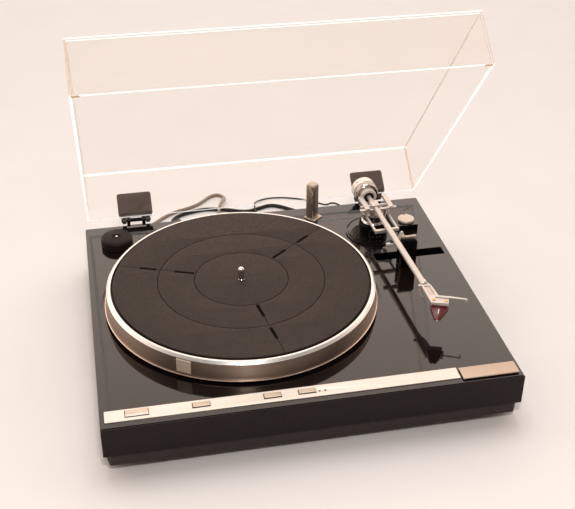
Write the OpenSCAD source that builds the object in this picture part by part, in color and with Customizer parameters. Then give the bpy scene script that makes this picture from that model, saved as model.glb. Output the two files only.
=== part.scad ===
/* [Plinth] */
// Width of the plinth
body_w = 430; // [420:1:440]
// Depth of the plinth
body_d = 375; // [370:1:385]
// Height of the deck's top face above the surface it stands on
deck_z = 58; // [54:1:64]
// Height of the front face
fascia_h = 35; // [30:1:38]
// Height of the rubber feet
foot_h = 9; // [6:1:10]

/* [Platter] */
// Radius of the platter's lowest flange
flange_r = 153; // [148:0.5:154]
// Height of the mat's top face above the deck
mat_top = 26; // [24:0.5:28]
// Radius of the mat
mat_r = 144.5; // [140:0.5:145]
// Radius of the spindle
spindle_r = 3.57; // [3.5:0.01:3.6]
// Height of the spindle above the mat
spindle_up = 14; // [10:0.5:16]

/* [Tonearm] */
// Distance from the arm's pivot forward to the headshell's front edge
arm_reach = 214.5; // [212:0.5:216]
// Height of the tube's axis above the deck
arm_z = 37; // [36:0.5:38]
// Radius of the tube
tube_r = 3.5; // [3:0.1:3.6]
// Angle at which the headshell is set on the tube
offset_angle = 22; // [20:1:24]
// Radius of the counterweight
weight_r = 15.5; // [14:0.5:16]

/* [Dust cover] */
// Outer height of the cover
cover_h = 62; // [60:1:70]
// Thickness of its clear walls
cover_t = 3; // [2:0.5:4]
// Angle at which it stands open
cover_open = 51; // [45:1:55]

/* [Leads] */
// Width of the mains lead
mains_d = 5; // [4:0.5:6]
// Width of the twin signal lead
signal_d = 4.4; // [4:0.2:5]
// Diameter of the earth wire
earth_d = 2; // [1.6:0.2:2.4]

/* [Hidden] */
$fn = 96;
gap = 0.3;

// Plinth: x from its left side, y from its front face, z from the floor
deck_t = 6;
wall = 5;
bevel = 1.5;
case_z = deck_z - fascia_h;
pan_side = 2;
pan_front = 2;
pan_rear = 11;
pan_cut = 3;
pan_corner = 5;
pan_wall = 3;
pan_floor = foot_h + pan_wall;
foot_r = 13;
foot_in = 45;
foot_spots = [[foot_in, foot_in], [body_w - foot_in, foot_in],
  [foot_in, body_d - foot_in], [body_w - foot_in, body_d - foot_in]];

// Row of controls: the strip, its buttons as [x, width, y, depth], and the long bar
strip_x = 4.8;
strip_len = 359;
strip_y = 8.5;
strip_w = 16.5;
strip_up = 1;
buttons = [[25, 22.6, 13.5, 9.5], [91, 17, 14.6, 6.8], [162.2, 17, 14.6, 6.8], [197.2, 17, 14.6, 6.4]];
button_up = 0.8;
button_travel = 1.5;
bar_x = 365.5;
bar_w = 60;
bar_y = 4.8;
bar_d = 17.8;
bar_up = 2.4;
lamps_x = [218, 224];
lamps_y = 16;

// Platter, about the spindle
platter_x = 168;
platter_y = 192.5;
well_r = flange_r + 4;
well_deep = 2;
flange_z = deck_z + 2.5;
mat_z = deck_z + mat_top;
mat_t = 5;
rim_r = 150;
shaft_r = 5;
motor_hole_r = 62;
bearing_z = 16;

// Dust cover when closed, and its hinge line
cover_x = 3.5;
cover_y = 33;
cover_back = body_d - 4;
cover_z = deck_z + 1.5;
hinge_y = body_d + 8;
hinge_z = deck_z + 2;
hinge_pin_r = 2.4;
plate_w = 42.5;
plate_x = [42.5, body_w - 85];
plate_h = 30;
bracket_w = 24;

// The open cover's rearmost corner sets the middle of the whole object's depth
cover_rear = hinge_y + (cover_back - hinge_y) * cos(cover_open)
  + (cover_z + cover_h - hinge_z) * sin(cover_open);
mid_y = cover_rear / 2;

// Tonearm: pivot, and the angle of the tube at rest from straight ahead
pivot_x = 351;
pivot_y = 301.5;
rest_angle = 2.65;
tube_z = deck_z + arm_z;
neck_y = 176;
turret_r = 16;
turret_top = deck_z + 30;
weight_y = 30;
weight_len = 18;

// Arm rest, cue lever and the knob's shelf
post_x = 362;
post_w = 18.5;
post_y = 217.5;
post_d = 8;
post_h = 36;
slot_x = 338;
slot_y = 236.5;
slot_len = 85;
slot_wide = 15.5;
knob_x = 395.5;
knob_y = 309;
knob_r = 10.2;
shelf_h = 7;

// Adaptor for large-holed records, on its pin
adaptor_x = 37;
adaptor_y = 332;
adaptor_r = 19;
adaptor_h = 11;

// Routes of the three leads, from the outlet to the start of the coil, centre line
mains_x = 120;
signal_x = 60;
earth_x = 360;
outlet_z = 36;
mains_route = [[120, 400, 36], [120, 406, 36], [120, 414, 34], [119.5, 422, 28.5], [118.5, 431, 19.5],
  [117, 441, 9.7], [115.5, 449, 4.4], [114.5, 458, 2.5], [116.2, 467.5, 2.5], [121.8, 475.7, 2.5],
  [130, 481.5, 2.5], [139.5, 485, 2.5], [150, 488, 2.5], [164, 490, 2.5], [180, 487, 2.5],
  [196, 482, 2.5], [210, 476, 2.5], [223, 474, 2.5], [238, 479, 2.5], [254, 484, 2.5], [268, 478, 2.5],
  [282, 466, 2.5], [296, 453, 2.5], [306, 445, 2.5], [316, 442, 2.5]];
signal_route = [[60, 388, 36], [60, 400, 36], [61, 413, 28], [64, 426, 14], [70, 440, 5], [79, 454, 2.2],
  [92, 467, 2.2], [106, 480, 2.2], [122, 491, 2.2], [138, 497, 2.2], [152, 504, 2.2], [164, 514, 2.2],
  [174, 524, 2.2], [185, 528, 2.2], [193, 521, 2.2], [193, 509, 5], [189, 498, 9], [185, 487, 10],
  [181, 475, 8], [178, 462, 4.5], [171, 448, 2.2], [162, 433, 2.2], [157.5, 420, 2.2], [156.6, 408, 2.2]];
earth_route = [[360, 371, 36], [360, 384, 36], [360, 394, 35], [359, 406, 26], [358, 420, 10], [357, 436, 2],
  [355, 452, 1], [352, 467, 1], [343, 477, 1], [332, 474, 1], [320, 483, 1], [304, 494, 1],
  [288, 501, 1], [270, 506, 1], [252, 506, 1], [239, 498, 3], [233, 486, 6.6], [231, 474, 6.8],
  [230, 462, 5], [227, 450, 1.4], [226, 440, 1], [226, 428, 1]];
mains_coil_at = [316, 410];
signal_coil_at = [185, 408];
earth_coil_at = [240, 428];
mains_coil_r = 27;
signal_coil_r = 24;
earth_coil_r = 11;

// Row frame: origin at the middle of the object's footprint, on the surface it stands on
module rig() {
  translate([-body_w / 2, -mid_y, 0]) children();
}
// Things set out about the platter's spindle
module at_spindle() {
  rig() translate([platter_x, platter_y, 0]) children();
}
// Things set out about the arm's pivot, with the tube along -Y
module at_arm() {
  rig() translate([pivot_x, pivot_y, 0]) rotate([0, 0, rest_angle]) children();
}
// Things set out about the middle of the headshell's front edge
module at_shell() {
  at_arm() translate([3.4, -arm_reach, 0]) rotate([0, 0, -offset_angle]) children();
}
// Things drawn on the closed cover, swung open about its hinge line
module on_cover() {
  rig() translate([0, hinge_y, hinge_z]) rotate([-cover_open, 0, 0])
    translate([0, -hinge_y, -hinge_z]) children();
}
// A box between two corners
module block(low, high) {
  translate(low) cube(high - low);
}
// A ring about the Z axis
module ring(outer, inner, low, high) {
  translate([0, 0, low]) difference() {
    cylinder(h = high - low, r = outer);
    translate([0, 0, -1]) cylinder(h = high - low + 2, r = inner);
  }
}
// A rod along X
module rod_x(r, from, to) {
  translate([from, 0, 0]) rotate([0, 90, 0]) cylinder(h = to - from, r = r);
}
// A rod along Y
module rod_y(r, from, to) {
  translate([0, from, 0]) rotate([-90, 0, 0]) cylinder(h = to - from, r = r);
}

// A smooth curve through hand-set points, and a tube swept along it
function catmull(a, b, c, d, t) =
  0.5 * (2 * b + (c - a) * t + (2 * a - 5 * b + 4 * c - d) * t * t + (3 * b - a - 3 * c + d) * t * t * t);
function along(p, s) =
  let (n = len(p) - 1, i = min(floor(s), n - 1), t = s - i)
  catmull(i > 0 ? p[i - 1] : 2 * p[0] - p[1], p[i], p[i + 1], i < n - 1 ? p[i + 2] : 2 * p[n] - p[n - 1], t);
function unit(v) = v / norm(v);
module tube(route, d, rings, sides = 8) {
  last = len(route) - 1;
  step = last / (rings - 1);
  path = [for (k = [0 : rings - 1]) let (p = along(route, k * step)) [p[0], p[1], max(p[2], d / 2)]];
  points = [for (k = [0 : rings - 1])
    let (ahead = unit(path[min(k + 1, rings - 1)] - path[max(k - 1, 0)]),
      side = unit(cross([0, 0, 1], ahead)), up = cross(ahead, side))
    for (a = [0 : sides - 1])
      path[k] + d / 2 * (cos(360 * a / sides) * side + sin(360 * a / sides) * up)];
  ends = [[for (a = [0 : sides - 1]) a], [for (a = [sides - 1 : -1 : 0]) (rings - 1) * sides + a]];
  skin = [for (k = [0 : rings - 2], a = [0 : sides - 1])
    let (b = (a + 1) % sides)
    each [[k * sides + a, (k + 1) * sides + a, k * sides + b],
      [(k + 1) * sides + a, (k + 1) * sides + b, k * sides + b]]];
  polyhedron(points, concat(ends, skin));
}
// The outer shape of a coil of turns lying beside and on each other
module coil(at, r, d, across, layers) {
  translate([at[0], at[1], 0]) ring(r + across * d / 2, r - across * d / 2, 0, layers * d);
}

module deck() {
  color([0.05, 0.045, 0.04]) rig() difference() {
    union() {
      block([0, 0, deck_z - deck_t], [body_w, body_d, deck_z - bevel]);
      block([bevel, bevel, deck_z - bevel], [body_w - bevel, body_d - bevel, deck_z]);
    }
    translate([platter_x, platter_y, deck_z - well_deep]) cylinder(h = deck_t, r = well_r);
    translate([platter_x, platter_y, 0]) cylinder(h = deck_z, r = motor_hole_r);
    translate([pivot_x, pivot_y, 0]) cylinder(h = deck_z + 1, r = 14);
    block([slot_x, slot_y, deck_z - 3], [slot_x + slot_len, slot_y + slot_wide, deck_z + 1]);
    for (b = buttons) block([b[0] - gap, b[2] - gap, 0], [b[0] + b[1] + gap, b[2] + b[3] + gap, deck_z + 1]);
    block([bar_x + 8, bar_y + 5, 0], [bar_x + bar_w - 8, bar_y + bar_d - 5, deck_z + 1]);
  }
}
module case_frame() {
  color([0.06, 0.055, 0.05]) rig() difference() {
    block([0, 0, case_z], [body_w, body_d, deck_z - deck_t]);
    block([wall, wall, case_z - 1], [body_w - wall, body_d - wall, deck_z]);
    for (x = [mains_x, signal_x]) translate([x, body_d, outlet_z]) rod_y(4.5, -wall - 1, 1);
    translate([earth_x, body_d, outlet_z]) rod_y(earth_d / 2, -wall - 1, 1);
  }
}
module base_pan() {
  left = pan_side;
  right = body_w - pan_side;
  rear = body_d - pan_rear;
  front = pan_front + pan_corner;
  upright = [[left, case_z], [right, case_z], [right - pan_cut, foot_h], [left + pan_cut, foot_h]];
  plan = [[left, rear], [left, front], [left + pan_corner, pan_front],
    [right - pan_corner, pan_front], [right, front], [right, rear]];
  color([0.09, 0.085, 0.08]) rig() difference() {
    intersection() {
      translate([0, rear, 0]) rotate([90, 0, 0]) linear_extrude(rear - pan_front) polygon(upright);
      linear_extrude(case_z) polygon(plan);
    }
    block([left + pan_cut + pan_corner, pan_front + pan_wall, pan_floor],
      [right - pan_cut - pan_corner, rear - pan_wall, case_z + 1]);
    for (x = [100 : 30 : 340]) block([x, 60, foot_h - 1], [x + 4, 110, foot_h + 4]);
  }
}
module foot(n) {
  at = foot_spots[n - 1];
  color([0.12, 0.12, 0.12]) rig() translate([at[0], at[1], 0]) {
    cylinder(h = foot_h, r1 = foot_r - 1.5, r2 = foot_r);
  }
}
module control_strip() {
  color([0.86, 0.83, 0.78]) rig() difference() {
    block([strip_x, strip_y, deck_z], [strip_x + strip_len, strip_y + strip_w, deck_z + strip_up]);
    for (b = buttons) block([b[0] - gap, b[2] - gap, 0], [b[0] + b[1] + gap, b[2] + b[3] + gap, 99]);
    for (x = lamps_x) translate([x, lamps_y, 0]) cylinder(h = 99, r = 1.2);
  }
}
module start_stop_bar() {
  color([0.72, 0.62, 0.5]) rig() {
    difference() {
      block([bar_x, bar_y, deck_z + bar_up - 1.2], [bar_x + bar_w, bar_y + bar_d, deck_z + bar_up]);
      block([bar_x + 4, bar_y + 1.5, deck_z + bar_up - 0.3], [bar_x + bar_w - 4, bar_y + 2.1, 99]);
    }
    block([bar_x + 9, bar_y + 6, deck_z - deck_t - 4],
      [bar_x + bar_w - 9, bar_y + bar_d - 6, deck_z + bar_up - 1]);
  }
}
module button(n) {
  b = buttons[n - 1];
  top = deck_z + strip_up + button_up;
  color([0.8, 0.76, 0.7]) rig() {
    block([b[0], b[2], top - 1.2], [b[0] + b[1], b[2] + b[3], top]);
    block([b[0] + 1.5, b[2] + 1.5, deck_z - deck_t - 4], [b[0] + b[1] - 1.5, b[2] + b[3] - 1.5, top - 1]);
  }
}
module indicator_lamps() {
  color([0.25, 0.05, 0.03]) rig() for (x = lamps_x) translate([x, lamps_y, deck_z]) {
    cylinder(h = strip_up + 0.4, r = 1.1);
  }
}

module platter() {
  web_z = mat_z - mat_t;
  color([0.75, 0.72, 0.68]) at_spindle() rotate_extrude($fn = 180) polygon([
    [shaft_r, web_z - 9], [12, web_z - 9], [12, web_z - 5], [rim_r - 7, web_z - 5], [rim_r - 7, flange_z],
    [flange_r, flange_z], [flange_r, flange_z + 1.2], [rim_r, flange_z + 3], [rim_r, mat_z - 4],
    [rim_r - 2.5, mat_z - 1], [mat_r + gap, mat_z - 1], [mat_r + gap, web_z], [shaft_r, web_z]]);
}
module mat() {
  web_z = mat_z - mat_t;
  color([0.2, 0.17, 0.15]) at_spindle() difference() {
    translate([0, 0, web_z]) cylinder(h = mat_t, r = mat_r);
    translate([0, 0, web_z - 1]) cylinder(h = mat_t + 2, r = 4);
    for (a = [39, 159, 279], s = [[54, 23], [98, 20]])
      rotate([0, 0, a]) block([s[0], -1.8, web_z - 1], [s[0] + s[1], 1.8, mat_z + 1]);
    for (r = [52, 93]) ring(r + 0.6, r, mat_z - 1, mat_z + 1);
  }
}
module spindle() {
  color([0.85, 0.85, 0.86]) at_spindle() {
    translate([0, 0, bearing_z + 3]) cylinder(h = mat_z - mat_t - bearing_z - 3, r = shaft_r);
    translate([0, 0, mat_z - mat_t]) cylinder(h = mat_t, r = 3.95);
    translate([0, 0, mat_z]) cylinder(h = spindle_up - 1.5, r = spindle_r);
    translate([0, 0, mat_z + spindle_up - 1.5]) cylinder(h = 1.5, r1 = spindle_r, r2 = 2);
  }
}
module rotor_magnet() {
  color([0.35, 0.33, 0.32]) at_spindle() ring(50, 40, deck_z - deck_t + 3, mat_z - mat_t - 5);
}
module bearing() {
  color([0.7, 0.58, 0.3]) at_spindle() {
    ring(9, shaft_r + 0.05, bearing_z + 3, mat_z - mat_t - 10);
    ring(20, 8.5, deck_z - deck_t - 11, deck_z - deck_t - 8);
    translate([0, 0, bearing_z]) cylinder(h = 3, r = 9);
  }
}
module stator() {
  color([0.72, 0.4, 0.2]) at_spindle() {
    coil_z = deck_z - deck_t - 5;
    ring(70, 20, coil_z - 3, coil_z);
    for (a = [0 : 45 : 315]) rotate([0, 0, a]) translate([28, 0, coil_z]) cylinder(h = 6, r = 7);
    for (a = [30, 150, 270]) rotate([0, 0, a]) translate([66, 0, coil_z]) cylinder(h = 5, r = 3);
  }
}
module circuit_board() {
  color([0.16, 0.36, 0.2]) rig() {
    block([20, 20, 30], [340, 30, 31.6]);
    block([20, 10, 31.6], [220, 24, 38]);
    for (x = [40 : 40 : 320]) translate([x, 25, pan_floor]) cylinder(h = 30 - pan_floor, r = 2.5);
    for (x = [240, 262, 284, 306]) translate([x, 25, 31.6]) cylinder(h = 11, r = 4);
  }
}
module transformer() {
  color([0.5, 0.46, 0.4]) rig() {
    block([22, 245, 14], [72, 285, 46]);
    block([27, 239, 18], [67, 291, 42]);
    block([17, 250, pan_floor], [80, 280, 14]);
  }
}

module dust_cover() {
  color([0.9, 0.88, 0.85, 0.35]) on_cover() difference() {
    block([cover_x, cover_y, cover_z], [body_w - cover_x, cover_back, cover_z + cover_h]);
    block([cover_x + cover_t, cover_y + cover_t, cover_z - 1],
      [body_w - cover_x - cover_t, cover_back - cover_t, cover_z + cover_h - cover_t]);
  }
}
module cover_bumpers() {
  color([0.75, 0.62, 0.45]) on_cover() for (x = [cover_x + 2, body_w - cover_x - 10]) {
    block([x, cover_y + 0.2, cover_z - 1.2], [x + 8, cover_y + cover_t - 0.2, cover_z]);
  }
}
module hinge_plate(side) {
  x = plate_x[side];
  color([0.16, 0.12, 0.1]) on_cover() difference() {
    union() {
      block([x, cover_back, hinge_z + 2], [x + plate_w, cover_back + 3.5, hinge_z + 2 + plate_h]);
      block([x + 1, cover_back, hinge_z + 1], [x + plate_w - 1, cover_back + 6, hinge_z + 6]);
      for (k = [x + 4, x + plate_w - 9]) {
        block([k, cover_back, hinge_z - 0.5], [k + 5, hinge_y, hinge_z + 4.5]);
        translate([0, hinge_y, hinge_z]) rod_x(4.5, k, k + 5);
      }
    }
    translate([0, hinge_y, hinge_z]) rod_x(hinge_pin_r + 0.08, x - 1, x + plate_w + 1);
  }
}
module hinge_bracket(side) {
  x = plate_x[side] + (plate_w - bracket_w) / 2 + 0.5;
  w = bracket_w - 1;
  color([0.1, 0.1, 0.1]) rig() difference() {
    union() {
      block([x, body_d, deck_z - 14], [x + w, body_d + 3, deck_z - 5]);
      block([x, body_d, deck_z - 8], [x + w, hinge_y, deck_z - 5]);
      for (k = [x, x + w - 4]) {
        block([k, hinge_y - 4.5, deck_z - 7], [k + 4, hinge_y + 4.5, hinge_z]);
        translate([0, hinge_y, hinge_z]) rod_x(4.5, k, k + 4);
      }
    }
    translate([0, hinge_y, hinge_z]) rod_x(hinge_pin_r, x - 1, x + w + 1);
  }
}
module hinge_pins() {
  color([0.85, 0.85, 0.86]) rig() for (side = [0, 1]) translate([0, hinge_y, hinge_z]) {
    rod_x(hinge_pin_r, plate_x[side] + 3, plate_x[side] + plate_w - 3);
  }
}

module arm_base() {
  color([0.07, 0.07, 0.07]) rig() difference() {
    union() {
      translate([pivot_x, pivot_y, deck_z]) cylinder(h = 2.5, r = 34);
      block([376, 297, deck_z], [408, 332, deck_z + shelf_h]);
    }
    translate([pivot_x, pivot_y, deck_z - 1]) cylinder(h = 9, r = 11);
    translate([knob_x, knob_y, deck_z + 1]) cylinder(h = 9, r = 3.1);
  }
}
module arm_housing() {
  color([0.05, 0.05, 0.05]) rig() translate([pivot_x, pivot_y, 0]) difference() {
    union() {
      translate([0, 0, deck_z + 2.5]) cylinder(h = 13, r = 18);
      translate([0, 0, deck_z - 22]) cylinder(h = 24.5, r = 10.8);
    }
    translate([0, 0, deck_z - 23]) cylinder(h = 45, r = 5.05);
  }
}
module antiskate_knob() {
  color([0.78, 0.7, 0.58]) rig() translate([knob_x, knob_y, 0]) {
    translate([0, 0, deck_z + shelf_h + 0.4]) cylinder(h = 2.6, r = knob_r);
    translate([0, 0, deck_z + shelf_h + 3]) cylinder(h = 0.6, r1 = knob_r, r2 = knob_r - 1.2);
    translate([0, 0, deck_z + 1.2]) cylinder(h = shelf_h, r = 3.05);
  }
}
module rest_post() {
  color([0.04, 0.04, 0.04]) rig() translate([post_x, post_y, deck_z]) {
    translate([0, post_d, 0]) rotate([90, 0, 0]) linear_extrude(post_d) union() {
      square([post_w, post_h - 3]);
      square([post_w - 3, post_h]);
      translate([post_w - 3, post_h - 3]) circle(r = 3);
    }
    block([-1, -1.5, 0], [post_w + 1, post_d + 1.5, 1.5]);
  }
}
module lift_cylinder() {
  color([0.8, 0.78, 0.74]) rig() translate([365.5, 233, deck_z]) {
    cylinder(h = 31, r = 4.2);
    translate([0, 0, 31]) cylinder(h = 8, r1 = 4.2, r2 = 1);
  }
}
module lifter_bar() {
  color([0.85, 0.83, 0.8]) rig() translate([0, post_y + 4.5, tube_z - tube_r - 3]) {
    rod_x(2, 347, post_x - gap);
    rod_x(2.6, 344, 349);
  }
}
module cue_lever() {
  color([0.78, 0.7, 0.58]) rig() translate([0, post_y + 5, deck_z + post_h + 2.6]) {
    rod_x(1.9, post_x, post_x + 4);
    block([post_x + 1, -1.6, -1.4], [post_x + post_w - 1, 1.6, 1]);
  }
}

module turret() {
  color([0.82, 0.82, 0.84]) at_arm() {
    translate([0, 0, deck_z + 16]) cylinder(h = turret_top - deck_z - 16, r = turret_r);
    translate([0, 0, deck_z - 20]) cylinder(h = 37, r = 5);
  }
}
module gimbal_yoke() {
  color([0.86, 0.84, 0.8]) at_arm() difference() {
    union() {
      for (x = [-15, 15]) {
        block([x, -12.5, tube_z - 0.5], [x + 6, 19.5, tube_z + 4.5]);
        block([x, -5, turret_top], [x + 6, 9, tube_z]);
      }
      for (x = [-14.2, 13.4]) {
        block([x, -48, tube_z - 9], [x + 2.4, -11, tube_z - 6]);
        block([x, -12.5, tube_z - 9], [x + 2.4, -9.5, tube_z + 1]);
      }
      block([-14.2, -49, tube_z - 9.5], [15.8, -45, tube_z - 5]);
      block([20, -12.5, tube_z - 0.5], [24.5, -8, tube_z + 2.5]);
      block([-12, 8, turret_top], [16, 13, tube_z - 5]);
    }
    translate([0, 0, tube_z]) rod_x(2.05, -20, 22);
  }
}
module arm_tube() {
  color([0.88, 0.86, 0.82]) at_arm() translate([0, 0, tube_z]) {
    rod_y(tube_r, -neck_y, 8);
    rod_y(5.2, -7, 7);
    rod_y(2.8, 7, 50);
    rod_x(2, -18, 18);
    translate([0, -neck_y + 6, 0]) rod_y(tube_r + 0.8, -6, 0);
  }
}
module headshell() {
  color([0.88, 0.86, 0.82]) {
    at_arm() translate([0, 0, tube_z]) difference() {
      block([-4.7, -206, -2], [6.3, -neck_y, 2]);
      block([-2.2, -198, 1], [3.8, -neck_y - 6, 3]);
    }
    at_shell() translate([0, 0, tube_z]) difference() {
      block([-9.2, 0, -2], [9.2, 9, 2]);
      for (x = [-6.35, 6.35]) translate([x, 4.5, -3]) cylinder(h = 6, r = 1.4);
    }
  }
}
module finger_lift() {
  color([0.88, 0.86, 0.82]) at_shell() translate([0, 0, tube_z + 2]) {
    block([-5, 9.2, 0], [28.5, 12.2, 1.4]);
    block([27.3, 7.6, -1.6], [28.5, 12.2, 1.4]);
  }
}
module cartridge() {
  color([0.5, 0.48, 0.46]) at_shell() translate([0, 0, tube_z - 2]) {
    block([-7.6, 1, -5.5], [7.6, 14, 0]);
    block([-4, -8, -5], [4, 1, -1.5]);
    for (x = [-6.35, 6.35]) translate([x, 4.5, 0]) cylinder(h = 5.2, r = 1.3);
  }
}
module stylus_guard() {
  z = tube_z - 10.4;
  outer = [[-9.8, 5.5], [9.8, 5.5], [9.8, 3], [1.4, -17.5], [-5.4, -17.5], [-9.8, 3]];
  inner = [[-8.7, 6.5], [8.7, 6.5], [8.7, 3], [5.1, -8.6], [-6.2, -8.6], [-8.7, 3]];
  color([0.4, 0.03, 0.05]) at_shell() difference() {
    translate([0, 0, z]) linear_extrude(8) polygon(outer);
    translate([0, 0, z + 1.6]) linear_extrude(9) polygon(inner);
  }
}
module weight_bush() {
  color([0.6, 0.58, 0.5]) at_arm() translate([0, 0, tube_z]) difference() {
    rod_y(5, weight_y - 5, weight_y + weight_len - 2);
    rod_y(2.85, 0, 90);
  }
}
module counterweight() {
  color([0.86, 0.84, 0.8]) at_arm() translate([0, 0, tube_z]) difference() {
    union() {
      rod_y(weight_r, weight_y, weight_y + weight_len);
      rod_y(weight_r - 1.2, weight_y - 3, weight_y);
    }
    rod_y(5.06, 0, 90);
  }
}
module weight_dial() {
  color([0.9, 0.88, 0.84]) at_arm() translate([0, 0, tube_z]) difference() {
    rod_y(10, weight_y - 8, weight_y - 3);
    rod_y(5.3, 0, 90);
  }
}

module ep_adaptor() {
  color([0.08, 0.07, 0.07]) rig() translate([adaptor_x, adaptor_y, deck_z + gap]) difference() {
    union() {
      cylinder(h = adaptor_h - 2, r = adaptor_r);
      translate([0, 0, adaptor_h - 2]) cylinder(h = 2, r1 = adaptor_r, r2 = adaptor_r - 2);
    }
    translate([0, 0, -1]) cylinder(h = adaptor_h + 2, r = 3.65);
    translate([0, 0, adaptor_h - 2]) cylinder(h = 3, r1 = 3.65, r2 = 5.2);
  }
}
module adaptor_pin() {
  color([0.85, 0.85, 0.86]) rig() translate([adaptor_x, adaptor_y, deck_z]) {
    cylinder(h = adaptor_h - 1, r = 3.2);
  }
}
module rear_post() {
  color([0.12, 0.09, 0.07]) rig() translate([284, 350, deck_z]) rotate([0, 0, 40]) {
    block([-7.5, -9.5, 0], [9.5, 7.5, 1.5]);
    linear_extrude(49) union() {
      translate([-6.5, -1]) square([13, 7.5]);
      translate([0, -6.5]) square([6.5, 13]);
      translate([0, 0]) circle(r = 6.5);
    }
  }
}

module outlet(x, r, out) {
  rig() translate([x, 0, outlet_z]) {
    rod_y(r + 2.8, body_d, body_d + 3);
    rod_y(r + 1.4, body_d - wall, body_d);
    translate([0, body_d + 3, 0]) rotate([-90, 0, 0]) cylinder(h = out - 3, r1 = r + 1.6, r2 = r + 0.5);
  }
}
module mains_gland() {
  color([0.06, 0.06, 0.06]) outlet(mains_x, mains_d / 2, mains_route[0][1] - body_d);
}
module signal_gland() {
  color([0.06, 0.06, 0.06]) outlet(signal_x, signal_d / 2, signal_route[0][1] - body_d);
}
module mains_cord() {
  color([0.06, 0.06, 0.06]) rig() tube(mains_route, mains_d, 49);
}
module signal_cord() {
  color([0.45, 0.4, 0.36]) rig() tube(signal_route, signal_d, 36);
}
module earth_wire() {
  color([0.08, 0.08, 0.08]) rig() tube(earth_route, earth_d, 32);
}
module mains_coil() {
  color([0.06, 0.06, 0.06]) rig() coil(mains_coil_at, mains_coil_r, mains_d, 3, 2);
}
module signal_coil() {
  color([0.45, 0.4, 0.36]) rig() coil(signal_coil_at, signal_coil_r, signal_d, 3, 2);
}
module earth_coil() {
  color([0.08, 0.08, 0.08]) rig() coil(earth_coil_at, earth_coil_r, earth_d, 4, 3);
}
module mains_plug() {
  color([0.06, 0.06, 0.06]) rig() translate([338, 394, mains_d * 2]) {
    block([-7, 0, 0], [7, 26, 12]);
    for (x = [-6, 4.5]) block([x, 25, 3], [x + 1.5, 43, 9]);
    translate([0, 0, 6]) rod_y(mains_d / 2, -9, 1);
    translate([0, -9, 6]) sphere(d = mains_d);
    translate([0, -9, 0]) cylinder(h = 6, d = mains_d);
  }
}
module signal_plugs() {
  color([0.7, 0.68, 0.64]) rig() for (x = [132, 143]) translate([x, 386, 4.5]) {
    rod_y(4.5, 0, 22);
    rod_y(4, 22, 30);
    rod_y(1.6, 30, 38);
  }
}
module earth_tag() {
  color([0.8, 0.7, 0.4]) rig() translate([236, 390, 0]) {
    difference() {
      block([0, 0, 0], [8, 10, 0.8]);
      block([2.2, -1, -1], [5.8, 6, 2]);
    }
    block([2.5, 9, 0], [5.5, 24, 2]);
  }
}

deck();
case_frame();
base_pan();
foot(1);  // foot_1
foot(2);  // foot_2
foot(3);  // foot_3
foot(4);  // foot_4
control_strip();
start_stop_bar();
button(1);  // button_1
button(2);  // button_2
button(3);  // button_3
button(4);  // button_4
indicator_lamps();
platter();
mat();
spindle();
rotor_magnet();
bearing();
stator();
circuit_board();
transformer();
dust_cover();
cover_bumpers();
hinge_plate(0);  // hinge_plate_left
hinge_plate(1);  // hinge_plate_right
hinge_bracket(0);  // hinge_bracket_left
hinge_bracket(1);  // hinge_bracket_right
hinge_pins();
arm_base();
arm_housing();
antiskate_knob();
rest_post();
lift_cylinder();
lifter_bar();
cue_lever();
turret();
gimbal_yoke();
arm_tube();
headshell();
finger_lift();
cartridge();
stylus_guard();
weight_bush();
counterweight();
weight_dial();
ep_adaptor();
adaptor_pin();
rear_post();
mains_gland();
mains_cord();
mains_coil();
mains_plug();
signal_gland();
signal_cord();
signal_coil();
signal_plugs();
earth_wire();
earth_coil();
earth_tag();
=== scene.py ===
"""Looks of the turntable record player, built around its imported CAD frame.

Pieces are drawn in millimetres from the plinth's front left corner on the floor. DECK, PLATTER, ARM, TUBE,
SHELL and COVER are the places in the row frame that they are drawn from.
"""

import math

import bmesh
import bpy
from mathutils import Matrix, Vector


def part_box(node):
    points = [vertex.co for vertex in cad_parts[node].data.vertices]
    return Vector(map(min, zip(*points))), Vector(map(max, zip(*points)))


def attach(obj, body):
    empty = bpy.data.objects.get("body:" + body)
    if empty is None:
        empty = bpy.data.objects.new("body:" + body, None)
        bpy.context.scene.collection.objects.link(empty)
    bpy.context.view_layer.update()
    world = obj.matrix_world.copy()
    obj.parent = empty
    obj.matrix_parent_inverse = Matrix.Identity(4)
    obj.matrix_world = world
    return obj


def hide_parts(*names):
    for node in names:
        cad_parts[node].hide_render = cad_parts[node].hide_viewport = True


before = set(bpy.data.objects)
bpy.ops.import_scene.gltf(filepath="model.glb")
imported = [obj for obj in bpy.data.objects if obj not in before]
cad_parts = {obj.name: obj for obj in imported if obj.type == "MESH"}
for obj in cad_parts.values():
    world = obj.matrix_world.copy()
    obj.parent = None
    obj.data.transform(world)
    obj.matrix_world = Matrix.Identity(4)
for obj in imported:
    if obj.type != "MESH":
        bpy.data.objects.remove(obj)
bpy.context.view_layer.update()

# Places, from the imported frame

MM = 0.001
FRONT_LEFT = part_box("case_frame")[0]
DECK = Matrix.Translation((FRONT_LEFT.x, FRONT_LEFT.y, 0)) @ Matrix.Scale(MM, 4)
WIDTH, DEPTH, TOP = 430, 375, 58
CASE_Z = 23
SPINDLE = (168, 192.5)
PIVOT = (351, 301.5)
KNOB = (395.5, 309)
KNOB_LOW = 65.4
LIFT = (365.5, 233)
ADAPTOR_AT = (37, 332)
ADAPTOR_LOW = 58.3
OUTLET_Z = 36
HINGE = (383, 60)
OPEN = 51
ARM_REST = 2.65
SHELL_TURN = 22
TUBE_Z = 95


def moved(x, y, z=0):
    return Matrix.Translation((x, y, z))


def turned(degrees, axis="Z"):
    return Matrix.Rotation(math.radians(degrees), 4, axis)


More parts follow.
